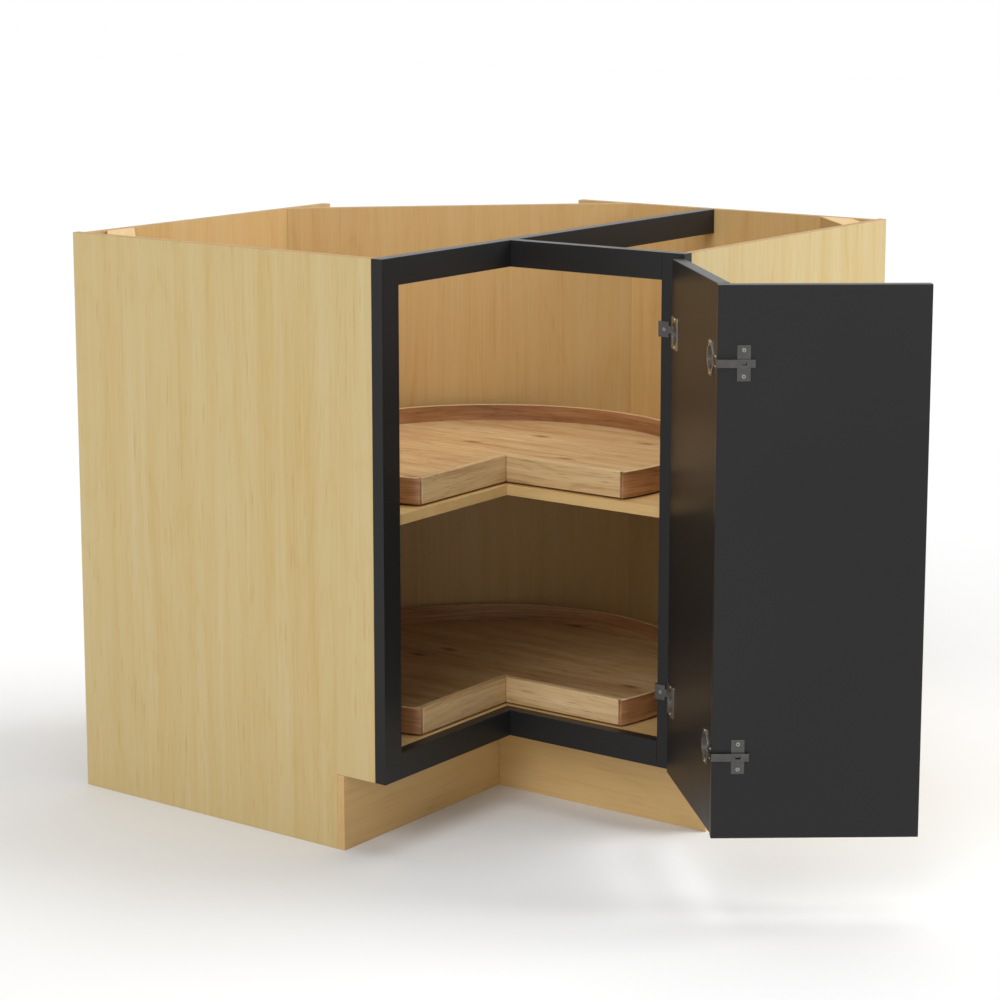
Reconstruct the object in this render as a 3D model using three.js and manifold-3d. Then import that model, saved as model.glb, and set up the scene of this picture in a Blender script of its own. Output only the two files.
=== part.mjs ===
// Corner base cabinet with two revolving kidney trays and a bi-fold pair of doors.
//
// Millimetres, +Z up. While the pieces are worked out, X = 0 and Y = 0 are the two room walls:
// the left wing runs along the wall X = 0 and faces +X, the right wing runs along the wall
// Y = 0 and faces -Y. The finished cabinet is then moved to stand centred on its own origin.
// The two wings mirror each other across the diagonal plane X = -Y. The doors and their
// hardware are worked out closed, then hung on their hinge axes and turned to stand open.

import * as THREE from "three";
import { mergeVertices } from "three/addons/utils/BufferGeometryUtils.js";
import Module from "manifold-3d";

const wasm = await Module();
wasm.setup();

// ---------------------------------------------------------------- driving dimensions

// Clearances
const SEAM = 0.2; // glued or screwed pieces, face to face
const RUNNING_GAP = 0.3; // hinge pins in their knuckles, and knuckles in their notches

// Carcass
const WING_LENGTH = 914.4; // along each wall
const WING_DEPTH = 609.6; // wall to the front of the face frame
const CABINET_HEIGHT = 876.3;
const SIDE_THICKNESS = 12.7;
const SIDE_WALL_GAP = 6.35; // side panel's rear edge to the room wall
const BACK_THICKNESS = 15.9;
const BACK_WALL_GAP = 18.1; // back panel's rear face to the room wall
const BACK_OVERRUN = 111; // back panel's length past the corner panel's front face
const CORNER_BACK_THICKNESS = 19.05;
const PANEL_THICKNESS = 15.9; // deck and middle shelf
const MIDDLE_SHELF_TOP = 500.3;

// Toe space
const TOE_HEIGHT = 114.3;
const TOE_RECESS = 77.8;
const KICK_THICKNESS = 12.7;

// Face frame
const FRAME_THICKNESS = 19.05;
const STILE_WIDTH = 38.1;
const RAIL_HEIGHT = 39.7;
const DECK_STEP = 1.2; // deck's top below the top edge of the bottom rails

// Braces across the top corners between the back and side panels
const BRACE_FRONT_LEG = 92;
const BRACE_REAR_LEG = 33;
const BRACE_HEIGHT = 38;

// Revolving trays
const TRAY_RADIUS = 325;
const TRAY_AXIS_SETBACK = 124.6; // face frame's front to the trays' axis
const TRAY_NOTCH_SETBACK = 27.6; // face frame's front to the notch boards' faces
const TRAY_CORNER_GAP = 20.6; // rim to the diagonal panel across the room corner
const TRAY_RIM_HEIGHT = 40;
const TRAY_RIM_THICKNESS = 6;
const TRAY_BOARD_THICKNESS = 12;
const TRAY_FLOOR_THICKNESS = 9;
const TRAY_FLOOR_RAISE = 4.3; // rim's lower edge to the floor's underside
const TRAY_SHELF_GAP = 2.7; // shelf's top to the rim's lower edge
const RIM_STEPS = 60;

// Turntable bearing under each tray: a tongue that runs in a channel
const RACE_NOTCH_GAP = 2; // bearing's rim to the corner where the notch boards meet
const RACE_WIDTH = 40;
const RACE_SHEET = 1.2;
const TONGUE_WIDTH = 4;
const CHANNEL_WALL = 2;
const CHANNEL_WALL_HEIGHT = 3;
const RACE_STEPS = 48;

// Doors
const DOOR_THICKNESS = 17.5;
const DOOR_FACE_GAP = 3; // face frame to the closed doors' inner faces
const DOOR_TOP_REVEAL = 6.3;
const DOOR_SIDE_REVEAL = 8.9; // cabinet's end to the hinged edge of the swing door
const DOOR_MEETING_GAP = 2; // swing door's free edge to the folding door's outer face
const FOLD_END_GAP = 1.8; // face frame to the folding door's near end
const FOLD_DOOR_WIDTH = 282.3;
const DOOR_EDGE_EASE = 0.8;
const SWING_OPEN_DEG = 135; // how far the pair stands swung open
const FOLD_OPEN_DEG = 7.5; // how far the pair stands unfolded from its closed corner

// Hinges
const HINGE_TOP_INSET = 103.8; // doors' upper end to the middle of the upper hinges
const HINGE_BOTTOM_INSET = 115.2; // doors' lower end to the middle of the lower hinges
const PIN_RADIUS = 1.5;
const KNUCKLE_WALL = 1;
const KNUCKLE_LENGTH = 11;
const EAR_THICKNESS = 1.8;
const HARDWARE_SHEET = 1.1;
const SWING_PIVOT_DEPTH = 5.6; // behind the swing door's inner face
const SWING_PIVOT_OUT = 0.6; // beyond the swing door's hinged edge
const FOLD_PIVOT_RISE = 0.5; // in front of the swing door's inner face
const CUP_RADIUS = 17.5;
const CUP_DEPTH = 11;
const CUP_WALL = 1.5;
const CUP_LIP = 1.5; // how far the cup's round lip laps over the door, all round
const SWING_CUP_INSET = 22.5; // hinged edge to the cup's middle
const FOLD_CUP_INSET = 33; // swing door's free edge to the cup's middle
const SWING_FLANGE = { width: 38, height: 46.6, corner: 2.5 };
const FOLD_FLANGE = { width: 22, height: 49, corner: 8 };
const FRAME_PLATE_HEIGHT = 22.8;
const FRAME_PLATE_REACH = 17.7; // across the stile's face
const FRAME_PLATE_EDGE = 3.6; // thickness of the leg on the stile's inner edge
const FRAME_PLATE_RETURN = 17; // length of that leg behind the stile's face
const FOLD_PLATE_WIDTH = 18;
const FOLD_PLATE_HEIGHT = 48;
const FOLD_PLATE_INSET = 35; // folding door's near end to the plate's middle
const FOLD_ARM_REACH = 50; // folding door's near end to the arm's tail
const FOLD_ARM_HEIGHT = 3.6;
const FOLD_ARM_SLOT = 6.9; // length of the slot in the arm's back, over the plate
const ROUND_STEPS = 24;
const CORNER_STEPS = 4; // in a quarter of a rounded corner, or a board's rounded end

// Finest distance at which two corners of a surface are one
const WELD_DISTANCE = 1e-4;

// Materials
const MAPLE = { color: 0xd8bd84, roughness: 0.55, metalness: 0 };
const TRAY_WOOD = { color: 0xc09a66, roughness: 0.6, metalness: 0 };
const PAINT = { color: 0x2c2c2c, roughness: 0.5, metalness: 0 };
const NICKEL = { color: 0xa9a7a2, roughness: 0.35, metalness: 1 };
const ZINC = { color: 0x9c9c99, roughness: 0.45, metalness: 1 };

// ---------------------------------------------------------------- sizes that follow

const sideInner = WING_LENGTH - SIDE_THICKNESS;
const stileInner = WING_LENGTH - STILE_WIDTH;
const frameRear = WING_DEPTH - FRAME_THICKNESS;
const backInner = BACK_WALL_GAP + BACK_THICKNESS;
const kickFace = WING_DEPTH - TOE_RECESS;
const kickRear = kickFace - KICK_THICKNESS;
const bottomRailTop = TOE_HEIGHT + RAIL_HEIGHT;
const topRailUnderside = CABINET_HEIGHT - RAIL_HEIGHT;
const deckTop = bottomRailTop - DECK_STEP;
const deckUnderside = deckTop - PANEL_THICKNESS;

// The trays' axis is trayCentre from either room wall. The corner panel lies clear of the rims,
// and its inner face runs onto a back panel at cornerMeet from the other wing's room wall.
const trayCentre = WING_DEPTH - TRAY_AXIS_SETBACK;
const cornerReach = (TRAY_RADIUS + TRAY_CORNER_GAP) * Math.SQRT2;
const cornerMeet = 2 * trayCentre - cornerReach - backInner - SEAM;
const trayNotch = TRAY_AXIS_SETBACK - TRAY_NOTCH_SETBACK; // from the trays' axis
const boardInner = trayNotch - TRAY_BOARD_THICKNESS;
const bearingHeight = TRAY_SHELF_GAP + TRAY_FLOOR_RAISE - 2 * SEAM;
const raceOuter = boardInner * Math.SQRT2 - RACE_NOTCH_GAP;
const raceInner = raceOuter - RACE_WIDTH;
const raceMiddle = raceOuter - RACE_WIDTH / 2;

const doorInner = WING_DEPTH + DOOR_FACE_GAP;
const doorOuter = doorInner + DOOR_THICKNESS;
const doorTop = CABINET_HEIGHT - DOOR_TOP_REVEAL;
const swingHingedEdge = WING_LENGTH - DOOR_SIDE_REVEAL;
const swingFreeEdge = doorOuter + DOOR_MEETING_GAP;
const foldNearEnd = WING_DEPTH + FOLD_END_GAP;
const foldFarEnd = foldNearEnd + FOLD_DOOR_WIDTH;

const swingPivot = at(swingHingedEdge + SWING_PIVOT_OUT, -(doorInner + SWING_PIVOT_DEPTH));
const foldPivot = at(doorOuter + DOOR_MEETING_GAP / 2, -(doorInner - FOLD_PIVOT_RISE));
const hingeHeights = {
  lower: TOE_HEIGHT + HINGE_BOTTOM_INSET,
  upper: doorTop - HINGE_TOP_INSET,
};
const knuckleBore = PIN_RADIUS + RUNNING_GAP;
const knuckleRadius = knuckleBore + KNUCKLE_WALL;
const earStart = KNUCKLE_LENGTH / 2 + RUNNING_GAP;
const earEnd = earStart + EAR_THICKNESS;
const notchReach = earEnd + RUNNING_GAP;

// ---------------------------------------------------------------- shape helpers

/** A point of an outline. */
function at(x, y) {
  return new THREE.Vector2(x, y);
}

/** The outline of a rectangle. */
function rectangle(x0, x1, y0, y1) {
  return [at(x0, y0), at(x1, y0), at(x1, y1), at(x0, y1)];
}

/** Points on an arc about a centre, both ends included. */
function arc(centre, radius, from, to, steps) {
  return Array.from({ length: steps + 1 }, (_, i) => {
    const angle = from + ((to - from) * i) / steps;
    return at(centre.x + radius * Math.cos(angle), centre.y + radius * Math.sin(angle));
  });
}

/** The outline of a full circle. */
function circle(centre, radius) {
  return arc(centre, radius, 0, 2 * Math.PI, ROUND_STEPS).slice(1);
}

/** The outline of a rectangle about a centre, with rounded corners. */
function roundedRectangle(centre, { width, height, corner }) {
  const x = width / 2 - corner;
  const y = height / 2 - corner;
  const corners = [at(x, y), at(-x, y), at(-x, -y), at(x, -y)];
  return corners.flatMap((middle, i) => {
    const start = (i * Math.PI) / 2;
    return arc(middle.add(centre), corner, start, start + Math.PI / 2, CORNER_STEPS);
  });
}

/** Points mirrored across the diagonal X = -Y, in the order that carries the outline on. */
function acrossDiagonal(points) {
  return points.map((point) => at(-point.y, -point.x)).reverse();
}

/** A plan outline raised between two heights. */
function raised(outline, bottom, top) {
  const shape = new THREE.Shape(outline);
  const geometry = new THREE.ExtrudeGeometry(shape, { depth: top - bottom, bevelEnabled: false });
  return geometry.translate(0, 0, bottom);
}

/** An upright outline, given as (X, height), carried from one Y to a greater one. */
function upright(outline, near, far) {
  const shape = new THREE.Shape(outline);
  const geometry = new THREE.ExtrudeGeometry(shape, { depth: far - near, bevelEnabled: false });
  return geometry.rotateX(Math.PI / 2).translate(0, far, 0);
}

/** An upright rectangle in the same terms, its edges eased all round. */
function easedPanel(x0, x1, y0, y1, z0, z1) {
  const shape = new THREE.Shape(rectangle(x0, x1, z0, z1));
  const geometry = new THREE.ExtrudeGeometry(shape, {
    depth: y1 - y0 - 2 * DOOR_EDGE_EASE,
    bevelThickness: DOOR_EDGE_EASE,
    bevelSize: DOOR_EDGE_EASE,
    bevelOffset: -DOOR_EDGE_EASE,
    bevelSegments: 1,
  });
  return geometry.rotateX(Math.PI / 2).translate(0, y1 - DOOR_EDGE_EASE, 0);
}

/** A profile of (radius, height) turned about a vertical axis. */
function turned(profile, steps) {
  const points = profile.map(([radius, height]) => at(radius, height));
  return new THREE.LatheGeometry(points, steps).rotateX(Math.PI / 2);
}

/** A geometry mirrored across the diagonal plane X = -Y, its faces still pointing out. */
function mirrored(geometry) {
  const plain = geometry.index ? geometry.toNonIndexed() : geometry.clone();
  const position = plain.attributes.position;
  const corner = new THREE.Vector3();
  const flipped = new Float32Array(position.array.length);
  for (let i = 0; i < position.count; i += 1) {
    corner.fromBufferAttribute(position, i);
    const swapped = i % 3 === 0 ? i : i - (i % 3) + (3 - (i % 3));
    flipped.set([-corner.y, -corner.x, corner.z], swapped * 3);
  }
  const result = new THREE.BufferGeometry();
  result.setAttribute("position", new THREE.BufferAttribute(flipped, 3));
  result.computeVertexNormals();
  return result;
}

/** The closed solid of a geometry, for joining and cutting. */
function solid(geometry) {
  const bare = geometry.clone();
  bare.deleteAttribute("normal");
  bare.deleteAttribute("uv");
  const merged = mergeVertices(bare, WELD_DISTANCE);
  const vertProperties = new Float32Array(merged.attributes.position.array);
  const triVerts = new Uint32Array(merged.index.array);
  return new wasm.Manifold(new wasm.Mesh({ numProp: 3, vertProperties, triVerts }));
}

/** The geometry of a solid. */
function geometryOf(body) {
  const mesh = body.getMesh();
  const geometry = new THREE.BufferGeometry();
  geometry.setAttribute("position", new THREE.BufferAttribute(mesh.vertProperties, 3));
  geometry.setIndex(new THREE.BufferAttribute(mesh.triVerts, 1));
  return geometry.toNonIndexed();
}

/** The first geometry with the others joined to it. */
function joined(first, ...others) {
  return geometryOf(others.reduce((body, other) => body.add(solid(other)), solid(first)));
}

/** The first geometry with the others cut out of it. */
function cut(first, ...others) {
  return geometryOf(others.reduce((body, other) => body.subtract(solid(other)), solid(first)));
}

/** A named piece with its own material. */
function piece(name, geometry, look) {
  geometry.computeVertexNormals();
  const mesh = new THREE.Mesh(geometry, new THREE.MeshStandardMaterial(look));
  mesh.name = name;
  return mesh;
}

// ---------------------------------------------------------------- carcass

/** A side panel's outline as (depth, height), cut back behind the kick board. */
function sideOutline() {
  return [
    at(SIDE_WALL_GAP, 0),
    at(kickRear - SEAM, 0),
    at(kickRear - SEAM, TOE_HEIGHT),
    at(frameRear - SEAM, TOE_HEIGHT),
    at(frameRear - SEAM, CABINET_HEIGHT),
    at(SIDE_WALL_GAP, CABINET_HEIGHT),
  ];
}

/** The plan of the deck and the middle shelf: both wings, with the room corner cut off. */
function floorOutline() {
  const front = frameRear - SEAM;
  const end = sideInner - SEAM;
  const rear = backInner + SEAM;
  const corner = cornerMeet + SEAM;
  const leftWing = [at(rear, -corner), at(rear, -end), at(front, -end)];
  return [...leftWing, at(front, -front), ...acrossDiagonal(leftWing)];
}

/** The diagonal panel across the room corner, its ends mitred onto the back panels. */
function cornerBackOutline() {
  const meet = backInner + SEAM;
  const rearMeet = cornerMeet - CORNER_BACK_THICKNESS * Math.SQRT2;
  const leftEnd = [at(meet, -rearMeet), at(meet, -cornerMeet)];
  return [...leftEnd, ...acrossDiagonal(leftEnd)];
}

/** A brace in plan, its ends cut to lie on the left wing's back and side panels. */
function braceOutline() {
  const x = backInner + SEAM;
  const y = SEAM - sideInner;
  return [
    at(x + BRACE_REAR_LEG, y),
    at(x + BRACE_FRONT_LEG, y),
    at(x, y + BRACE_FRONT_LEG),
    at(x, y + BRACE_REAR_LEG),
  ];
}

/** A kick board as (distance along its wing, height), its end let into the side panel's foot. */
function kickOutline(start) {
  const underPanel = TOE_HEIGHT - SEAM;
  const underDeck = deckUnderside - SEAM;
  return [
    at(start, 0),
    at(WING_LENGTH, 0),
    at(WING_LENGTH, underPanel),
    at(sideInner - SEAM, underPanel),
    at(sideInner - SEAM, underDeck),
    at(start, underDeck),
  ];
}

function carcass() {
  const side = upright(sideOutline(), -WING_LENGTH, -sideInner);
  const backPlan = rectangle(BACK_WALL_GAP, backInner, SEAM - sideInner, BACK_OVERRUN - cornerMeet);
  const back = raised(backPlan, 0, CABINET_HEIGHT);
  const brace = raised(braceOutline(), CABINET_HEIGHT - BRACE_HEIGHT, CABINET_HEIGHT);
  const shelfUnderside = MIDDLE_SHELF_TOP - PANEL_THICKNESS;
  return [
    piece("left_side_panel", side, MAPLE),
    piece("right_side_panel", mirrored(side), MAPLE),
    piece("left_back_panel", back, MAPLE),
    piece("right_back_panel", mirrored(back), MAPLE),
    piece("corner_back_panel", raised(cornerBackOutline(), 0, CABINET_HEIGHT), MAPLE),
    piece("bottom_deck", raised(floorOutline(), deckUnderside, deckTop), MAPLE),
    piece("middle_shelf", raised(floorOutline(), shelfUnderside, MIDDLE_SHELF_TOP), MAPLE),
    piece("left_kick_board", mirrored(upright(kickOutline(kickRear), -kickFace, -kickRear)), MAPLE),
    piece("right_kick_board", upright(kickOutline(kickFace + SEAM), -kickFace, -kickRear), MAPLE),
    piece("left_corner_brace", brace, MAPLE),
    piece("right_corner_brace", mirrored(brace), MAPLE),
  ];
}

// ---------------------------------------------------------------- face frame

/** A member of the left wing's frame, between two places along the wing. */
function frameMember(from, to, bottom, top) {
  return raised(rectangle(frameRear, WING_DEPTH, -to, -from), bottom, top);
}

function faceFrame() {
  const railEnd = stileInner - SEAM;
  const buttEnd = WING_DEPTH + SEAM;
  const stile = frameMember(stileInner, WING_LENGTH, TOE_HEIGHT, CABINET_HEIGHT);
  const longTopRail = frameMember(backInner + SEAM, railEnd, topRailUnderside, CABINET_HEIGHT);
  const shortTopRail = frameMember(buttEnd, railEnd, topRailUnderside, CABINET_HEIGHT);
  const leftBottomRail = frameMember(frameRear, railEnd, TOE_HEIGHT, bottomRailTop);
  const rightBottomRail = frameMember(buttEnd, railEnd, TOE_HEIGHT, bottomRailTop);
  return [
    piece("left_stile", stile, PAINT),
    piece("right_stile", mirrored(stile), PAINT),
    piece("long_top_rail", longTopRail, PAINT),
    piece("short_top_rail", mirrored(shortTopRail), PAINT),
    piece("left_bottom_rail", leftBottomRail, PAINT),
    piece("right_bottom_rail", mirrored(rightBottomRail), PAINT),
  ];
}

// ---------------------------------------------------------------- revolving trays
// A tray is worked out about its own axis, from the lower edge of its rim.

/** The angle at which a circle about the tray's axis crosses a notch board's plane. */
function notchAngle(offset, radius) {
  return -Math.acos(offset / radius);
}

/** The arc of a given radius that runs from one notch board round the back to the other. */
function trayArc(offset, radius) {
  const start = notchAngle(offset, radius);
  const mirroredStart = -Math.PI / 2 - start;
  return arc(at(0, 0), radius, start, mirroredStart - 2 * Math.PI, RIM_STEPS);
}

/** The bent rim in plan, its ends cut against the notch boards' inner faces. */
function rimOutline() {
  const offset = boardInner - SEAM;
  const outer = trayArc(offset, TRAY_RADIUS);
  const inner = trayArc(offset, TRAY_RADIUS - TRAY_RIM_THICKNESS);
  return [...outer, ...inner.reverse()];
}

/** The kidney floor in plan, inside the rim and the notch boards. */
function trayFloorOutline() {
  const offset = boardInner - SEAM;
  const edge = trayArc(offset, TRAY_RADIUS - TRAY_RIM_THICKNESS - SEAM);
  return [...edge, at(offset, -offset)];
}

/** The left notch board in plan, mitred at the notch's corner and rounded off with the rim. */
function notchBoardOutline() {
  const gap = SEAM / 2;
  const from = notchAngle(boardInner, TRAY_RADIUS);
  const to = notchAngle(trayNotch, TRAY_RADIUS);
  const roundedEnd = arc(at(0, 0), TRAY_RADIUS, from, to, CORNER_STEPS);
  return [...roundedEnd, at(trayNotch, -trayNotch - gap), at(boardInner, -boardInner - gap)];
}

/** The tray's half of the bearing: a ring under the floor with a tongue that hangs from it. */
function bearingTop() {
  const top = TRAY_FLOOR_RAISE - SEAM;
  const underside = top - RACE_SHEET;
  const tip = top - bearingHeight + RACE_SHEET + RUNNING_GAP;
  const profile = [
    [raceInner, underside],
    [raceMiddle - TONGUE_WIDTH / 2, underside],
    [raceMiddle - TONGUE_WIDTH / 2, tip],
    [raceMiddle + TONGUE_WIDTH / 2, tip],
    [raceMiddle + TONGUE_WIDTH / 2, underside],
    [raceOuter, underside],
    [raceOuter, top],
    [raceInner, top],
    [raceInner, underside],
  ];
  return turned(profile, RACE_STEPS);
}

/** The shelf's half of the bearing: a ring with two walls that the tongue runs between. */
function bearingBase() {
  const channel = TONGUE_WIDTH / 2 + RUNNING_GAP;
  const bottom = SEAM - TRAY_SHELF_GAP;
  const plate = bottom + RACE_SHEET;
  const wallTop = plate + CHANNEL_WALL_HEIGHT;
  const profile = [
    [raceInner, bottom],
    [raceOuter, bottom],
    [raceOuter, plate],
    [raceMiddle + channel + CHANNEL_WALL, plate],
    [raceMiddle + channel + CHANNEL_WALL, wallTop],
    [raceMiddle + channel, wallTop],
    [raceMiddle + channel, plate],
    [raceMiddle - channel, plate],
    [raceMiddle - channel, wallTop],
    [raceMiddle - channel - CHANNEL_WALL, wallTop],
    [raceMiddle - channel - CHANNEL_WALL, plate],
    [raceInner, plate],
    [raceInner, bottom],
  ];
  return turned(profile, RACE_STEPS);
}

function tray(level, shelfTop) {
  const board = raised(notchBoardOutline(), 0, TRAY_RIM_HEIGHT);
  const floorTop = TRAY_FLOOR_RAISE + TRAY_FLOOR_THICKNESS;
  const group = new THREE.Group();
  group.position.set(trayCentre, -trayCentre, shelfTop + TRAY_SHELF_GAP);
  group.add(
    piece(`${level}_tray_floor`, raised(trayFloorOutline(), TRAY_FLOOR_RAISE, floorTop), TRAY_WOOD),
    piece(`${level}_tray_rim`, raised(rimOutline(), 0, TRAY_RIM_HEIGHT), TRAY_WOOD),
    piece(`${level}_tray_left_board`, board, TRAY_WOOD),
    piece(`${level}_tray_right_board`, mirrored(board), TRAY_WOOD),
    piece(`${level}_bearing_top`, bearingTop(), ZINC),
    piece(`${level}_bearing_base`, bearingBase(), ZINC),
  );
  return group;
}

// ---------------------------------------------------------------- hinges
// Hinge pieces are worked out at height 0 with the doors closed. On each axis a knuckle turns
// between two ears, on a pin that the ears hold.

/** A round of a hinge about its axis, between two heights. */
function roundAbout(pivot, radius, bottom, top) {
  return raised(circle(pivot, radius), bottom, top);
}

/** A plan outline raised at both of a hinge's ears. */
function atBothEars(outline) {
  return [raised(outline, earStart, earEnd), raised(outline, -earEnd, -earStart)];
}

/** The frame's half of a swing hinge: a plate wrapped round the stile, a strap and a knuckle. */
function frameHingeBase() {
  const rear = -WING_DEPTH - SEAM;
  const front = rear - HARDWARE_SHEET;
  const edge = stileInner - SEAM;
  const start = edge - FRAME_PLATE_EDGE;
  const end = start + FRAME_PLATE_REACH;
  const plan = [
    at(start, front),
    at(end, front),
    at(end, rear),
    at(edge, rear),
    at(edge, rear + FRAME_PLATE_RETURN),
    at(start, rear + FRAME_PLATE_RETURN),
  ];
  const plate = raised(plan, -FRAME_PLATE_HEIGHT / 2, FRAME_PLATE_HEIGHT / 2);
  const half = KNUCKLE_LENGTH / 2;
  const left = swingPivot.x - knuckleRadius;
  const right = swingPivot.x + knuckleRadius;
  const strap = raised(rectangle(edge, right, front, rear), -half, half);
  const post = raised(rectangle(left, right, swingPivot.y, rear), -half, half);
  const barrel = roundAbout(swingPivot, knuckleRadius, -half, half);
  const bore = roundAbout(swingPivot, knuckleBore, -KNUCKLE_LENGTH, KNUCKLE_LENGTH);
  return cut(joined(plate, strap, post, barrel), bore);
}

/** The open bowl of a hinge cup, sunk in the swing door at a distance along X. */
function cupBowl(middle) {
  const radius = CUP_RADIUS - SEAM;
  const mouth = doorInner - SEAM - HARDWARE_SHEET;
  const floor = doorInner + CUP_DEPTH - SEAM;
  const profile = [
    [0, floor],
    [0, floor - CUP_WALL],
    [radius - CUP_WALL, floor - CUP_WALL],
    [radius - CUP_WALL, mouth],
    [radius, mouth],
    [radius, floor],
    [0, floor],
  ];
  return turned(profile, ROUND_STEPS).rotateX(Math.PI / 2).translate(middle, 0, 0);
}

/** A hinge cup with its screwed flange on the swing door, and its ears on a hinge axis. */
function hingeCup(middle, pivot, flangeSize) {
  const face = SEAM - doorInner;
  const lip = face + HARDWARE_SHEET;
  const wings = upright(roundedRectangle(at(middle, 0), flangeSize), face, lip);
  const ring = upright(circle(at(middle, 0), CUP_RADIUS + CUP_LIP), face, lip);
  const mouth = circle(at(middle, 0), CUP_RADIUS - SEAM - CUP_WALL);
  const flange = cut(joined(wings, ring), upright(mouth, face - SEAM, lip + SEAM));
  const root = middle + Math.sign(pivot.x - middle) * CUP_RADIUS;
  const strip = rectangle(Math.min(root, pivot.x), Math.max(root, pivot.x), face, lip);
  const post = rectangle(pivot.x - knuckleRadius, pivot.x + knuckleRadius, pivot.y, lip);
  const ears = [strip, post, circle(pivot, knuckleRadius)].flatMap(atBothEars);
  const pinHole = roundAbout(pivot, PIN_RADIUS + SEAM, -2 * earEnd, 2 * earEnd);
  return cut(joined(cupBowl(middle), flange, ...ears), pinHole);
}

/** The plate of a fold hinge, screwed on the folding door's inner face. */
function foldHingePlate() {
  const face = doorInner - SEAM;
  const near = -(foldNearEnd + FOLD_PLATE_INSET - FOLD_PLATE_WIDTH / 2);
  const plan = rectangle(face - HARDWARE_SHEET, face, near - FOLD_PLATE_WIDTH, near);
  return raised(plan, -FOLD_PLATE_HEIGHT / 2, FOLD_PLATE_HEIGHT / 2);
}

/** The arm of a fold hinge: a channel over the plate, wrapped round the door's end to a knuckle. */
function foldHingeArm() {
  const half = KNUCKLE_LENGTH / 2;
  const underside = doorInner - 2 * SEAM - HARDWARE_SHEET;
  const back = underside - FOLD_ARM_HEIGHT;
  const nearEnd = RUNNING_GAP - foldNearEnd;
  const tail = -(foldNearEnd + FOLD_ARM_REACH);
  const plateMiddle = -(foldNearEnd + FOLD_PLATE_INSET);
  const channelEnd = nearEnd - FOLD_ARM_HEIGHT;
  const slotHalf = FOLD_ARM_SLOT / 2;
  const body = raised(rectangle(back, underside, tail, nearEnd + HARDWARE_SHEET), -half, half);
  const wrap = rectangle(back, foldPivot.x, nearEnd, nearEnd + HARDWARE_SHEET);
  const barrel = roundAbout(foldPivot, knuckleRadius, -half, half);
  const inside = half - HARDWARE_SHEET;
  const channel = rectangle(back + HARDWARE_SHEET, underside + SEAM, tail - SEAM, channelEnd);
  const slot = rectangle(back - SEAM, underside, plateMiddle - slotHalf, plateMiddle + slotHalf);
  const bore = roundAbout(foldPivot, knuckleBore, -KNUCKLE_LENGTH, KNUCKLE_LENGTH);
  return cut(
    joined(body, raised(wrap, -half, half), barrel),
    raised(channel, -inside, inside),
    raised(slot, -inside / 2, inside / 2),
    bore,
  );
}

/** The pieces that each body gets at one hinge height, with the doors closed. */
function hingePieces(level, height) {
  const swingCup = hingeCup(swingHingedEdge - SWING_CUP_INSET, swingPivot, SWING_FLANGE);
  const foldCup = hingeCup(swingFreeEdge + FOLD_CUP_INSET, foldPivot, FOLD_FLANGE);
  const swingPin = roundAbout(swingPivot, PIN_RADIUS, -earEnd, earEnd);
  const foldPin = roundAbout(foldPivot, PIN_RADIUS, -earEnd, earEnd);
  const place = (name, geometry, look) =>
    piece(`${level}_${name}`, geometry.translate(0, 0, height), look);
  return {
    cabinet: [place("swing_hinge_base", frameHingeBase(), ZINC)],
    swingDoor: [
      place("swing_hinge_cup", swingCup, NICKEL),
      place("swing_hinge_pin", swingPin, NICKEL),
      place("fold_hinge_cup", foldCup, NICKEL),
      place("fold_hinge_pin", foldPin, NICKEL),
    ],
    foldingDoor: [
      place("fold_hinge_plate", foldHingePlate(), NICKEL),
      place("fold_hinge_arm", foldHingeArm(), NICKEL),
    ],
  };
}

// ---------------------------------------------------------------- doors

/** The notch that a hinge's knuckle and ears turn in, at one height. */
function knuckleNotch(pivot, height) {
  const reach = knuckleRadius * Math.SQRT2 + RUNNING_GAP;
  const side = knuckleRadius + RUNNING_GAP;
  const rise = SWING_PIVOT_DEPTH + KNUCKLE_WALL;
  const plan = rectangle(pivot.x - side, pivot.x + side, pivot.y - reach, pivot.y + rise);
  return raised(plan, height - notchReach, height + notchReach);
}

/** The bore for a hinge cup in the swing door's inner face. */
function cupBore(middle, height) {
  const outline = circle(at(middle, height), CUP_RADIUS);
  return upright(outline, -(doorInner + CUP_DEPTH), SEAM - doorInner);
}

function swingDoorPanel() {
  const panel = easedPanel(
    swingFreeEdge,
    swingHingedEdge,
    -doorOuter,
    -doorInner,
    TOE_HEIGHT,
    doorTop,
  );
  const cuts = Object.values(hingeHeights).flatMap((height) => [
    cupBore(swingHingedEdge - SWING_CUP_INSET, height),
    cupBore(swingFreeEdge + FOLD_CUP_INSET, height),
    knuckleNotch(swingPivot, height),
    knuckleNotch(foldPivot, height),
  ]);
  return cut(panel, ...cuts);
}

function foldingDoorPanel() {
  const across = easedPanel(foldNearEnd, foldFarEnd, -doorOuter, -doorInner, TOE_HEIGHT, doorTop);
  const notches = Object.values(hingeHeights).map((height) => knuckleNotch(foldPivot, height));
  return cut(mirrored(across), ...notches);
}

/** A group hung on an upright axis inside its parent, with pieces worked out closed. */
function hung(pieces, pivot, parentPivot, degrees) {
  const group = new THREE.Group();
  group.position.set(pivot.x - parentPivot.x, pivot.y - parentPivot.y, 0);
  group.rotation.z = THREE.MathUtils.degToRad(degrees);
  pieces.forEach((mesh) => mesh.geometry.translate(-pivot.x, -pivot.y, 0));
  group.add(...pieces);
  return group;
}

// ---------------------------------------------------------------- the cabinet

const cabinet = new THREE.Group();
cabinet.add(...carcass(), ...faceFrame());
cabinet.add(tray("lower", deckTop), tray("upper", MIDDLE_SHELF_TOP));

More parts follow.
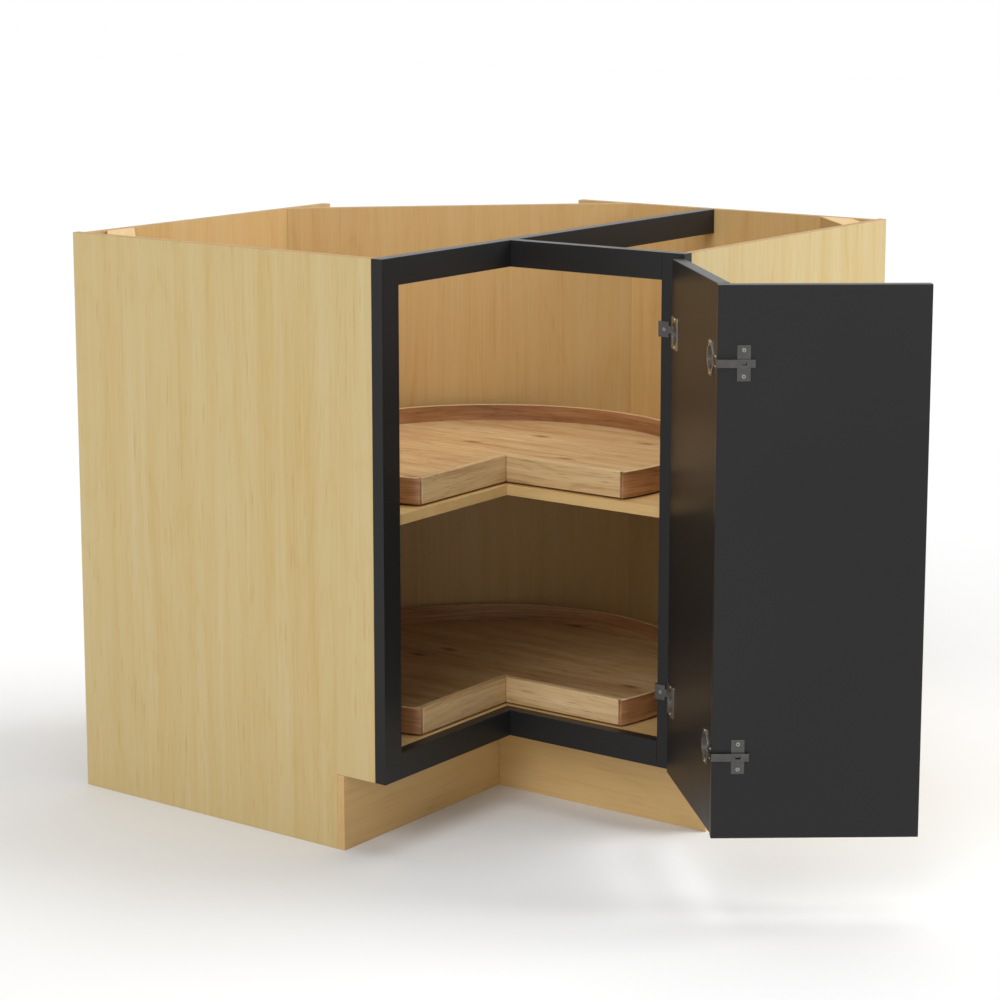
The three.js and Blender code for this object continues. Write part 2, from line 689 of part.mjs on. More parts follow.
const swingPieces = [piece("swing_door_panel", swingDoorPanel(), PAINT)];
const foldPieces = [piece("folding_door_panel", foldingDoorPanel(), PAINT)];
for (const [level, height] of Object.entries(hingeHeights)) {
  const pieces = hingePieces(level, height);
  cabinet.add(...pieces.cabinet);
  swingPieces.push(...pieces.swingDoor);
  foldPieces.push(...pieces.foldingDoor);
}
const swingDoor = hung(swingPieces, swingPivot, at(0, 0), SWING_OPEN_DEG);
swingDoor.add(hung(foldPieces, foldPivot, swingPivot, -FOLD_OPEN_DEG));
cabinet.add(swingDoor);

// The origin is on the floor, under the middle of the cabinet with its doors as they stand.
const bounds = new THREE.Box3().setFromObject(cabinet, true);
const middle = bounds.getCenter(new THREE.Vector3());
cabinet.position.set(-middle.x, -middle.y, -bounds.min.z);

const group = new THREE.Group();
group.add(cabinet);

export default group;
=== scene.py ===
"""Looks, light and camera of a corner carousel cabinet.

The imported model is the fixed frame. Boards get eased edges and their wood, the trays get bent
rims, the hinges get their screws, and the whole stands on a pale floor in soft studio light.
Lengths are metres unless a name ends in _mm, the angles among the sizes are degrees, and +Z is
up.
"""

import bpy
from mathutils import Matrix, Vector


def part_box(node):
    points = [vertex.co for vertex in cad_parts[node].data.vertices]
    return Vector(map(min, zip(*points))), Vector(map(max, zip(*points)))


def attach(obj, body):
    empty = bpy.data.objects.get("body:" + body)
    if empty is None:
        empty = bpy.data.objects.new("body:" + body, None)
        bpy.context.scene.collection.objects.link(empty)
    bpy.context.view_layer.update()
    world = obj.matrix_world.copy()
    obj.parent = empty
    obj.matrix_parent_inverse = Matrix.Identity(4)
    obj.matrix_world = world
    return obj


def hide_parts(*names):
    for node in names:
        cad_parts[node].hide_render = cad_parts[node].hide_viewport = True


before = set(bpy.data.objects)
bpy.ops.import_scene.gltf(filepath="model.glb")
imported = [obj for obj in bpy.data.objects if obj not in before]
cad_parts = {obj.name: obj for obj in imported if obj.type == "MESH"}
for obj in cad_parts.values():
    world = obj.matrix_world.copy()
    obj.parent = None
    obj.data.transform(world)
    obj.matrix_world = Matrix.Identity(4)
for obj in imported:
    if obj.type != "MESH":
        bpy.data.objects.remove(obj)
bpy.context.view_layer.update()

import logging
import math
from dataclasses import dataclass, field, replace
from enum import Enum
from typing import Any, Callable, Optional, Union

import bmesh
import bpy
from bpy.types import Material, Mesh, Node, NodeOutputs, NodeSocket, NodeTree, Object
from mathutils import Matrix, Vector

log = logging.getLogger("carousel_cabinet")

MM = 0.001
GRAIN = "grain"  # the attribute that carries a board's own grain directions
FACING = "facing"  # the attribute that carries the way each screw faces
LEVELS = {"lower": 4.9, "upper": 1.7}  # each tray's level, and where its wood's pattern starts

WELD_MM = 0.01  # corners of a frame node that are closer than this are one
FLAT_WITHIN = 0.5  # degrees: neighbouring triangles that bend less than this are one flat face
UPWARD = 0.3  # a face whose normal rises by more than this is on top

# The colour mix node keeps a set of sockets for each kind of value. These are the colours'.
FACTOR, FIRST, SECOND, MIXED = 0, 6, 7, 2

Place = tuple[float, float, float]
Source = Union[Node, NodeSocket]  # what an input can be linked to
Screw = tuple[Vector, Vector]  # where the top of a screw's head lies, and the way it faces


# ---------------- small tools


def linear(hex_colour: str) -> tuple[float, float, float, float]:
    """Turn an sRGB hex colour into the linear colour that shaders take.

    Args:
        hex_colour: A colour such as "#c8ae79".

    Returns:
        Red, green, blue and alpha, in linear light.
    """
    channels = [int(hex_colour[i : i + 2], 16) / 255 for i in (1, 3, 5)]
    # The sRGB curve: a straight foot, and a power above it
    bright = [c / 12.92 if c <= 0.04045 else ((c + 0.055) / 1.055) ** 2.4 for c in channels]
    return (*bright, 1.0)


def add_node(tree: NodeTree, kind: str, inputs: Optional[dict] = None, **settings: Any) -> Node:
    """Add a node to a tree with its settings, and link or set its inputs.

    Args:
        tree: The tree that gets the node.
        kind: The node's type name.
        inputs: Socket name or number to a value, to another node's output, or to another node
            whose first output is meant.
        settings: The node's own properties.

    Returns:
        The new node.
    """
    node = tree.nodes.new(kind)
    for name, value in settings.items():
        setattr(node, name, value)
    for socket, value in (inputs or {}).items():
        source = value.outputs[0] if isinstance(value, Node) else value
        if isinstance(source, NodeSocket):
            tree.links.new(source, node.inputs[socket])
        else:
            node.inputs[socket].default_value = source
    return node


def new_object(name: str, mesh: Mesh) -> Object:
    """Put a mesh into the scene as an object at the origin.

    Args:
        name: The object's name.
        mesh: The object's mesh, with its place in its points.

    Returns:
        The new object.
    """
    piece = bpy.data.objects.new(name, mesh)
    bpy.context.scene.collection.objects.link(piece)
    return piece


def settle(piece: Object) -> None:
    """Turn a piece with its live modifiers into a plain mesh, and remove the modifiers.

    Args:
        piece: The piece to settle.
    """
    bpy.context.view_layer.update()
    graph = bpy.context.evaluated_depsgraph_get()
    mesh = bpy.data.meshes.new_from_object(piece.evaluated_get(graph), depsgraph=graph)
    piece.modifiers.clear()
    piece.data = mesh


# ---------------- finishes


class Grain(Enum):
    """Which way the grain of a board runs."""

    UPRIGHT = "upright"
    ALONG_X = "along x"
    ALONG_Y = "along y"
    ACROSS_CORNER = "across the corner"

    def directions(self) -> tuple[Vector, Vector, Vector]:
        """Return the directions of a board's wood.

        Returns:
            The two directions across the grain, and the one along it.
        """
        x, y, z = Vector((1, 0, 0)), Vector((0, 1, 0)), Vector((0, 0, 1))
        return {
            Grain.UPRIGHT: (x, y, z),
            Grain.ALONG_X: (y, z, x),
            Grain.ALONG_Y: (x, z, y),
            Grain.ACROSS_CORNER: ((x + y).normalized(), z, (x - y).normalized()),
        }[self]


def write_grain(mesh: Mesh, place: Callable[[Vector], Place]) -> None:
    """Write a mesh's grain attribute.

    Args:
        mesh: The mesh that gets the attribute.
        place: Gives the place across, through and along the grain for a point of the mesh.
    """
    layer = mesh.attributes.new(GRAIN, "FLOAT_VECTOR", "POINT")
    for vertex, value in zip(mesh.vertices, layer.data):
        value.vector = place(vertex.co)


@dataclass(frozen=True)
class Finish:
    """What every finish has: a name and a slot name."""

    name: str
    slot: str

    def shade(self, tree: NodeTree) -> dict[str, Any]:
        """Build the finish's nodes in a tree, and return the shader's inputs."""
        raise NotImplementedError

    def material(self) -> Material:
        """Make the finish's material on first use.

        Returns:
            The one material of this finish.
        """
        known = bpy.data.materials.get(self.name)
        if known:
            return known
        made = bpy.data.materials.new(self.name)
        made.use_nodes = True
        tree = made.node_tree
        tree.nodes.clear()
        shader = add_node(tree, "ShaderNodeBsdfPrincipled", self.shade(tree))
        add_node(tree, "ShaderNodeOutputMaterial", {"Surface": shader})
        return made

    def cover_top(self, mesh: Mesh) -> None:
        """Give the faces of a mesh that look up this finish.

        Args:
            mesh: A mesh that holds its main material and no other.
        """
        mesh.materials.append(self.material())
        for face in mesh.polygons:
            face.material_index = int(face.normal.z > UPWARD)


@dataclass(frozen=True)
class Wood(Finish):
    """Wood or its print: broad bands, growth lines, fine streaks, flecks and perhaps knots."""

    pale: str = "#c9b98c"
    middle: str = "#c5ad77"
    deep: str = "#bc9c5a"
    fleck: str = "#ae8b48"
    knot: str = "#6d4a2c"
    mean_tone: float = 0.45  # from 0, pale, to 1, deep
    pale_tone: float = 0.1
    middle_tone: float = 0.5
    deep_tone: float = 0.9
    layer_share: float = 0.55  # of each finer layer of a pattern against the one before
    # Bands: broad flames that drift sideways
    band_mm: float = 26.0
    length_mm: float = 900.0
    band_contrast: float = 0.75
    sway: float = 0.35  # of a band's width
    drift_bands: float = 5.0  # width of a drift, in bands
    drift_lengths: float = 0.7
    # Streaks: the pores and rays, drawn as coarse as they need to show
    streak_mm: float = 2.2
    streak_lengths: float = 0.2
    streak_contrast: float = 0.5
    # Growth lines: arches that show in patches
    lines: float = 9.0
    line_strength: float = 0.18
    line_sharpness: float = 5.0
    arch_bands: float = 3.5
    arch_lengths: float = 0.6
    patch_mm: tuple[float, float] = (60.0, 300.0)
    # Flecks: short dark dashes
    fleck_mm: float = 3.0
    fleck_stretch: float = 22.0
    fleck_strength: float = 0.5
    fleck_start: float = 0.62  # of the pattern's height, where a fleck begins
    fleck_full: float = 0.78
    # Knots: none where their spacing is 0
    knot_spacing_mm: float = 0.0
    knot_mm: float = 4.5
    knot_stretch: float = 2.2
    knot_rim: float = 2.4  # of a knot's size, where its darkening begins
    knot_heart: float = 0.2  # and where it is full
    # Surface
    roughness: float = 0.5
    roughness_swing: float = 0.12
    relief: float = 0.06
    relief_mm: float = 0.4

    def figure(self, tree: NodeTree, at: Source, across: float, along: float, detail: float) -> Node:
        """Add a pattern that is drawn out along the grain.

        Args:
            tree: The material's tree.
            at: The place in the grain's own directions.
            across: The pattern's period across the grain, in millimetres.
            along: Its period along the grain, in millimetres.
            detail: How many finer layers the pattern has.

        Returns:
            The pattern, from 0 to 1.
        """
        scale = (1 / (across * MM), 1 / (across * MM), 1 / (along * MM))
        spread = add_node(tree, "ShaderNodeVectorMath", {0: at, 1: scale}, operation="MULTIPLY")
        inputs = {"Vector": spread, "Scale": 1.0, "Detail": detail, "Roughness": self.layer_share}
        return add_node(tree, "ShaderNodeTexNoise", inputs)

    def drifted(self, tree: NodeTree) -> Node:
        """Add the place in the wood, moved sideways by a slow drift so that the bands sway.

        Args:
            tree: The material's tree.

        Returns:
            The moved place, in the grain's own directions.
        """
        place = add_node(tree, "ShaderNodeAttribute", attribute_name=GRAIN).outputs["Vector"]
        width, length = self.band_mm * self.drift_bands, self.length_mm * self.drift_lengths
        drift = self.figure(tree, place, width, length, detail=1.0)
        inputs = {0: drift, 1: 2 * self.sway * self.band_mm * MM}
        sideways = add_node(tree, "ShaderNodeMath", inputs, operation="MULTIPLY")
        shift = add_node(tree, "ShaderNodeCombineXYZ", {"X": sideways, "Y": sideways})
        return add_node(tree, "ShaderNodeVectorMath", {0: place, 1: shift}, operation="ADD")

    def growth(self, tree: NodeTree, at: Source) -> Node:
        """Add the faint arched growth lines, which come and go over the board.

        Args:
            tree: The material's tree.
            at: The place in the grain's own directions.

        Returns:
            How strongly a line shows, from 0 to 1.
        """
        width, length = self.band_mm * self.arch_bands, self.length_mm * self.arch_lengths
        line = self.figure(tree, at, width, length, detail=0.5)
        # Count off the rings, fold each to a ridge from 0 to 1, sharpen it and keep it to patches
        for operation, by in (
            ("MULTIPLY", self.lines),
            ("PINGPONG", 0.5),
            ("MULTIPLY", 2.0),
            ("POWER", self.line_sharpness),
            ("MULTIPLY", self.figure(tree, at, *self.patch_mm, detail=1.0)),
        ):
            line = add_node(tree, "ShaderNodeMath", {0: line, 1: by}, operation=operation)
        return line

    def tone(self, tree: NodeTree, at: Source, streak: Node) -> Node:
        """Add up the bands, the streaks and the growth lines.

        Args:
            tree: The material's tree.
            at: The place in the grain's own directions.
            streak: The streaks' pattern.

        Returns:
            The wood's tone, from 0, pale, to 1, deep.
        """
        band = self.figure(tree, at, self.band_mm, self.length_mm, detail=2.0)
        tone = self.mean_tone - 0.5 * (self.band_contrast + self.streak_contrast)
        for pattern, share in (
            (band, self.band_contrast),
            (streak, self.streak_contrast),
            (self.growth(tree, at), self.line_strength),
        ):
            inputs = {0: pattern, 1: share, 2: tone}
            tone = add_node(tree, "ShaderNodeMath", inputs, operation="MULTIPLY_ADD")
        return tone

    def knots(self, tree: NodeTree, at: Source) -> Node:
        """Add the knots of a flat board, each drawn out along the grain.

        Args:
            tree: The material's tree.
            at: The place in the grain's own directions.

        Returns:
            1 in a knot's heart, falling to 0 round it.
        """
        across = 1 / (self.knot_spacing_mm * MM)
        scale = (across, across, across / self.knot_stretch)
        spread = add_node(tree, "ShaderNodeVectorMath", {0: at, 1: scale}, operation="MULTIPLY")
        split = add_node(tree, "ShaderNodeSeparateXYZ", {0: spread}).outputs
        flat = add_node(tree, "ShaderNodeCombineXYZ", {"X": split["X"], "Y": split["Z"]})
        inputs = {"Vector": flat, "Scale": 1.0}
        cells = add_node(tree, "ShaderNodeTexVoronoi", inputs, voronoi_dimensions="2D")
        size = self.knot_mm / self.knot_spacing_mm
        inputs = {"Value": cells, "From Min": size * self.knot_rim, "From Max": size * self.knot_heart}
        return add_node(tree, "ShaderNodeMapRange", inputs)

    def shade(self, tree: NodeTree) -> dict[str, Any]:
        """Build the wood's nodes: the colour of its tone, flecks and knots, and its surface.

        Args:
            tree: The material's tree.

        Returns:
            The shader's inputs.
        """
        at = self.drifted(tree)
        streak_length = self.length_mm * self.streak_lengths
        streak = self.figure(tree, at, self.streak_mm, streak_length, detail=3.0)
        ramp = add_node(tree, "ShaderNodeValToRGB", {"Fac": self.tone(tree, at, streak)})
        first, last = ramp.color_ramp.elements
        first.position, last.position = self.pale_tone, self.deep_tone
        first.color, last.color = linear(self.pale), linear(self.deep)
        ramp.color_ramp.elements.new(self.middle_tone).color = linear(self.middle)
        fleck = self.figure(tree, at, self.fleck_mm, self.fleck_mm * self.fleck_stretch, detail=1.0)
        inputs = {
            "Value": fleck,
            "From Min": self.fleck_start,
            "From Max": self.fleck_full,
            "To Max": self.fleck_strength,
        }
        flecked = add_node(tree, "ShaderNodeMapRange", inputs)
        inputs = {FACTOR: flecked, FIRST: ramp, SECOND: linear(self.fleck)}
        colour = add_node(tree, "ShaderNodeMix", inputs, data_type="RGBA").outputs[MIXED]
        if self.knot_spacing_mm:
            inputs = {FACTOR: self.knots(tree, at), FIRST: colour, SECOND: linear(self.knot)}
            colour = add_node(tree, "ShaderNodeMix", inputs, data_type="RGBA").outputs[MIXED]
        inputs = {0: streak, 1: self.roughness_swing, 2: self.roughness - self.roughness_swing / 2}
        rough = add_node(tree, "ShaderNodeMath", inputs, operation="MULTIPLY_ADD")
        inputs = {"Height": streak, "Strength": self.relief, "Distance": self.relief_mm * MM}
        normal = add_node(tree, "ShaderNodeBump", inputs)
        return {"Base Color": colour, "Roughness": rough, "Normal": normal}


@dataclass(frozen=True)
class Paint(Finish):
    """Sprayed satin paint: an even dark film with a faint orange peel."""

    colour: str = "#1d1d1d"
    cloud: str = "#222121"
    cloud_mm: float = 250.0
    roughness: float = 0.34
    smoother_by: float = 0.04
    rougher_by: float = 0.05
    ior: float = 1.3  # below a lacquer's usual 1.5, to match a weak sheen
    peel: float = 0.05
    peel_mm: float = 2.5
    peel_depth_mm: float = 0.2

    def shade(self, tree: NodeTree) -> dict[str, Any]:
        """Build the paint's nodes: a clouded colour, an uneven gloss and the peel.

        Args:
            tree: The material's tree.

        Returns:
            The shader's inputs.
        """
        place = add_node(tree, "ShaderNodeTexCoord").outputs["Object"]
        inputs = {"Vector": place, "Scale": 1 / (self.cloud_mm * MM), "Detail": 2.0}
        cloud = add_node(tree, "ShaderNodeTexNoise", inputs)
        inputs = {"Vector": place, "Scale": 1 / (self.peel_mm * MM)}
        peel = add_node(tree, "ShaderNodeTexNoise", inputs)
        inputs = {FACTOR: cloud, FIRST: linear(self.colour), SECOND: linear(self.cloud)}
        colour = add_node(tree, "ShaderNodeMix", inputs, data_type="RGBA").outputs[MIXED]
        inputs = {
            "Value": cloud,
            "To Min": self.roughness - self.smoother_by,
            "To Max": self.roughness + self.rougher_by,
        }
        rough = add_node(tree, "ShaderNodeMapRange", inputs)
        inputs = {"Height": peel, "Strength": self.peel, "Distance": self.peel_depth_mm * MM}
        normal = add_node(tree, "ShaderNodeBump", inputs)
        return {"Base Color": colour, "Roughness": rough, "Normal": normal, "IOR": self.ior}


@dataclass(frozen=True)
class PlatedSteel(Finish):
    """Pressed and plated steel: a bright film over the fine lines of rolled sheet."""

    bright: str = "#b3b1ac"
    dull: str = "#93918c"
    cloud_mm: float = 11.11
    roughness: float = 0.3
    smoother_by: float = 0.08
    rougher_by: float = 0.1
    line_mm: float = 0.8  # coarser than real rolled lines, which are too fine to show
    line_stretch: float = 20.0

    def shade(self, tree: NodeTree) -> dict[str, Any]:
        """Build the plating's nodes: rolled lines in the gloss and clouds in the colour.

        Args:
            tree: The material's tree.

        Returns:
            The shader's inputs.
        """
        place = add_node(tree, "ShaderNodeTexCoord").outputs["Object"]
        across = 1 / (self.line_mm * MM)
        scale = (across, across, 1 / (self.line_mm * self.line_stretch * MM))
        spread = add_node(tree, "ShaderNodeVectorMath", {0: place, 1: scale}, operation="MULTIPLY")
        inputs = {"Vector": spread, "Scale": 1.0}
        lines = add_node(tree, "ShaderNodeTexNoise", inputs)
        inputs = {"Vector": place, "Scale": 1 / (self.cloud_mm * MM), "Detail": 3.0}
        cloud = add_node(tree, "ShaderNodeTexNoise", inputs)
        inputs = {FACTOR: cloud, FIRST: linear(self.dull), SECOND: linear(self.bright)}
        colour = add_node(tree, "ShaderNodeMix", inputs, data_type="RGBA").outputs[MIXED]
        inputs = {
            "Value": lines,
            "To Min": self.roughness - self.smoother_by,
            "To Max": self.roughness + self.rougher_by,
        }
        rough = add_node(tree, "ShaderNodeMapRange", inputs)
        return {"Base Color": colour, "Roughness": rough, "Metallic": 1.0}


# Maple-print melamine, pressed flat: pale and yellow streaks of one brightness, under an even satin.
LAMINATE = Wood("maple melamine, pressed", "laminate")
# The same melamine on the inner boards and the kick boards, tinted warmer: painted bounce light from
# inside the box.
BOUNCE_TINTED_LAMINATE = replace(
    LAMINATE,
    name="maple melamine, tinted for painted bounce light",
    pale="#d0b582",
    middle="#caa66c",
    deep="#bc8f54",
    fleck="#a97a42",
    band_contrast=0.6,
    fleck_strength=0.25,
)
# The sawn top edges of the melamine boards: duller and browner than their faces.
SAWN_EDGE = replace(
    LAMINATE,
    name="melamine board, sawn edge",
    pale="#ae9064",
    middle="#a48556",
    deep="#8f7045",
    fleck="#7d603a",
    roughness=0.65,
)
# Clear-sealed solid pine, planed and sanded: broad brown flames, knots and a low gloss.
TRAY_PINE = Wood(
    "sealed solid pine, sanded",
    "tray_wood",
    pale="#d0b58a",
    middle="#bf9b6c",
    deep="#9a7047",
    fleck="#7d5632",
    band_mm=24.0,
    band_contrast=1.1,
    streak_mm=2.6,
    streak_contrast=1.0,
    length_mm=420.0,
    sway=0.8,
    lines=8.0,
    line_strength=0.25,
    fleck_mm=1.8,
    fleck_strength=0.7,
    knot_spacing_mm=130.0,
    roughness=0.42,
)
# Steamed and bent strip, with its streaks drawn out; made redder and darker than the boards as painted
# shade on the rim's faces.
SHADED_RIM_PINE = replace(
    TRAY_PINE,
    name="sealed pine strip, darkened for painted shade",
    pale="#b88b61",
    middle="#9d6e46",
    deep="#744b2b",
    fleck="#644124",
    band_mm=18.0,
    streak_mm=3.0,
    knot_spacing_mm=0.0,
)
# Clear-sealed front boards, planed: the palest wood of a tray, with a fine straight grain. Also laid on
# the rim's top as its painted lit top.
BOARD_AND_LIT_TOP_PINE = replace(
    TRAY_PINE,
    name="sealed pine board, planed",
    pale="#d9bd93",
    middle="#c7a778",
    deep="#a0784d",
    band_mm=16.0,
    streak_mm=2.2,
    streak_contrast=0.7,
    knot_spacing_mm=0.0,
)
# Black lacquer on hardwood and board, sprayed: a satin film that mirrors at a low angle.
BLACK_LACQUER = Paint("black lacquer, sprayed satin", "painted_wood")
# Nickel-plated steel, pressed: bright and slightly warm, with rolled lines.
NICKEL = PlatedSteel("nickel-plated steel, pressed", "hinge_steel")
# The hinges' arms and plates: the same nickel darkened to grey as painted shade and painted dim
# reflection, so that the screws stand out.
SHADED_NICKEL = PlatedSteel(
    "nickel-plated steel, darkened for painted shade", "hinge_steel", bright="#5f5e5c", dull="#494846", roughness=0.24
)
# Zinc-plated steel, pressed: greyer and duller than nickel.
ZINC = PlatedSteel(
    "zinc-plated steel, pressed", "bearing_steel", bright="#a6a7a6", dull="#868787", roughness=0.4
)


# ---------------- pieces with eased edges


@dataclass
class Board:
    """A piece of the frame model, shown with eased edges and, where it is wood, its own grain."""

    node: str
    body: str
    finish: Finish
    ease_mm: float
    grain: Grain = Grain.UPRIGHT
    offset: float = 0.0  # where in the wood's pattern the board is cut
    top: Optional[Finish] = None  # of the faces that look up, where it differs
    ease_segments: int = 2
    sharp: float = 30.0  # degrees: an edge that bends more than this is eased
    offset_shares: Place = (1.0, 0.7, 1.3)  # of the offset, across, through and along the grain

    def mesh(self) -> Mesh:
        """Copy the node's mesh, join its triangles and make its flat faces whole.

        Returns:
            The copy, without materials, UV maps or colours.
        """
        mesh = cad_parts[self.node].data.copy()
        mesh.name = f"{self.node}_eased"
        shape = bmesh.new()
        shape.from_mesh(mesh)
        bmesh.ops.remove_doubles(shape, verts=shape.verts, dist=WELD_MM * MM)
        bmesh.ops.dissolve_limit(
            shape, angle_limit=math.radians(FLAT_WITHIN), verts=shape.verts, edges=shape.edges
        )
        shape.to_mesh(mesh)
        shape.free()
        mesh.materials.clear()
        for name in [a.name for a in mesh.attributes if a.name.startswith(("UVMap", "Color"))]:
            mesh.attributes.remove(mesh.attributes[name])
        return mesh

    def place(self, point: Vector) -> Place:
        """Return where a point lies across, through and along this board's grain."""
        ways = zip(self.grain.directions(), self.offset_shares)
        return tuple(point.dot(way) + share * self.offset for way, share in ways)

    def build(self) -> None:
        """Make the piece, give it its finish and hang it on its body."""
        piece = new_object(f"{self.node}_eased", self.mesh())
        piece.data.polygons.foreach_set("use_smooth", [True] * len(piece.data.polygons))
        ease = piece.modifiers.new("ease", "BEVEL")
        ease.width = self.ease_mm * MM
        ease.segments = self.ease_segments
        ease.limit_method = "ANGLE"
        ease.angle_limit = math.radians(self.sharp)
        piece.modifiers.new("flat faces", "WEIGHTED_NORMAL")
        settle(piece)
        piece.data.materials.clear()
        piece.data.materials.append(self.finish.material())
        if self.top:
            self.top.cover_top(piece.data)
        if isinstance(self.finish, Wood):
            write_grain(piece.data, self.place)
        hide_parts(self.node)
        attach(piece, self.body)
        log.info("%s: %d faces", self.node, len(piece.data.polygons))


@dataclass
class Carcass:
    """The laminate box: sides, backs, deck, shelf, kick boards and corner braces."""

    body: str = "cabinet"
    ease_mm: float = 0.5
    offset_step: float = 3.1  # from one board's place in the pattern to the next

    def build(self) -> None:
        """Make every board of the carcass."""
        grains = {
            "left_side_panel": Grain.UPRIGHT,
            "right_side_panel": Grain.UPRIGHT,
            "left_back_panel": Grain.UPRIGHT,
            "right_back_panel": Grain.UPRIGHT,
            "corner_back_panel": Grain.UPRIGHT,
            "bottom_deck": Grain.ALONG_X,
            "middle_shelf": Grain.ALONG_X,
            "left_kick_board": Grain.ALONG_Y,
            "right_kick_board": Grain.ALONG_X,
            "left_corner_brace": Grain.ACROSS_CORNER,
            "right_corner_brace": Grain.ACROSS_CORNER,
        }
        for i, (node, grain) in enumerate(grains.items()):
            # every board but the sides takes the warmer copy of the laminate, which is painted bounce
            # light
            finish = LAMINATE if node.endswith("side_panel") else BOUNCE_TINTED_LAMINATE
            top = SAWN_EDGE if node.endswith("panel") else None
            Board(node, self.body, finish, self.ease_mm, grain, self.offset_step * i, top).build()


@dataclass
class FaceFrame:
    """The black face frame: two stiles and four rails."""

    body: str = "cabinet"
    ease_mm: float = 0.5
    nodes: tuple[str, ...] = (
        "left_stile",
        "right_stile",
        "long_top_rail",
        "short_top_rail",
        "left_bottom_rail",
        "right_bottom_rail",
    )

    def build(self) -> None:
        """Make every member of the frame."""
        for node in self.nodes:
            Board(node, self.body, BLACK_LACQUER, self.ease_mm).build()


@dataclass
class Doors:
    """The two lacquered door panels, their edges sanded round before the lacquer."""

    bodies: tuple[str, ...] = ("swing_door", "folding_door")
    ease_mm: float = 0.5

    def build(self) -> None:
        """Make both panels."""
        for body in self.bodies:
            Board(f"{body}_panel", body, BLACK_LACQUER, self.ease_mm).build()


# ---------------- geometry trees


@dataclass
class GeometryTree:
    """A geometry tree with named inputs, whose end makes its shape real and sets its material."""

    name: str
    kinds: tuple[tuple[str, str], ...]  # each input's name and kind
    sockets: dict[str, str] = field(default_factory=dict)  # each input's name and identifier
    tree: Optional[NodeTree] = None

    def shape(self, tree: NodeTree, given: NodeOutputs) -> Node:
        """Add the nodes that make the shape, and return the last of them."""
        raise NotImplementedError

    def build(self) -> None:
        """Build the tree, and note each input's identifier."""
        tree = bpy.data.node_groups.new(self.name, "GeometryNodeTree")
        for name, kind in self.kinds:
            socket = tree.interface.new_socket(name, in_out="INPUT", socket_type=f"NodeSocket{kind}")
            self.sockets[name] = socket.identifier
        tree.interface.new_socket("Geometry", in_out="OUTPUT", socket_type="NodeSocketGeometry")
        given = add_node(tree, "NodeGroupInput").outputs
        real = add_node(tree, "GeometryNodeRealizeInstances", {"Geometry": self.shape(tree, given)})
        inputs = {"Geometry": real, "Material": given["Material"]}
        dressed = add_node(tree, "GeometryNodeSetMaterial", inputs)
        add_node(tree, "NodeGroupOutput", {"Geometry": dressed})
        self.tree = tree

    def drive(self, piece: Object, values: dict[str, Any]) -> None:
        """Put the tree on a piece, and set its inputs by their identifiers.

        Args:
            piece: The piece that the tree shapes.
            values: The name and value of each input.
        """
        modifier = piece.modifiers.new(self.name, "NODES")
        modifier.node_group = self.tree
        for name, value in values.items():
            modifier[self.sockets[name]] = value


@dataclass
class RimTree(GeometryTree):
    """A tree that bends a strip with rounded edges round part of a circle."""

    name: str = "bent strip"
    kinds: tuple[tuple[str, str], ...] = (
        ("Radius", "Float"),
        ("Thickness", "Float"),
        ("Height", "Float"),
        ("Ease", "Float"),
        ("Start", "Float"),
        ("Sweep", "Float"),
        ("Steps", "Int"),
        ("Centre", "Vector"),
        ("Material", "Material"),
    )
    corner_points: int = 3

    def shape(self, tree: NodeTree, given: NodeOutputs) -> Node:
        """Draw the strip's section along an arc.

        Args:
            tree: The strip's geometry tree.
            given: The outputs of the tree's input node.

        Returns:
            The node that sets the strip in its place.
        """
        half = add_node(tree, "ShaderNodeMath", {0: given["Thickness"], 1: 0.5}, operation="MULTIPLY")
        middle = add_node(tree, "ShaderNodeMath", {0: given["Radius"], 1: half}, operation="SUBTRACT")
        inputs = {
            "Resolution": given["Steps"],
            "Radius": middle,
            "Start Angle": given["Start"],
            "Sweep Angle": given["Sweep"],
        }
        path = add_node(tree, "GeometryNodeCurveArc", inputs)
        upright = add_node(tree, "GeometryNodeSetCurveNormal", {"Curve": path}, mode="Z_UP")
        inputs = {"Width": given["Thickness"], "Height": given["Height"]}
        section = add_node(tree, "GeometryNodeCurvePrimitiveQuadrilateral", inputs)
        inputs = {"Curve": section, "Radius": given["Ease"], "Count": self.corner_points}
        rounded = add_node(tree, "GeometryNodeFilletCurve", inputs, mode="POLY")
        inputs = {"Curve": upright, "Profile Curve": rounded, "Fill Caps": True}
        strip = add_node(tree, "GeometryNodeCurveToMesh", inputs)
        inputs = {"Geometry": strip, "Translation": given["Centre"]}
        return add_node(tree, "GeometryNodeTransform", inputs)


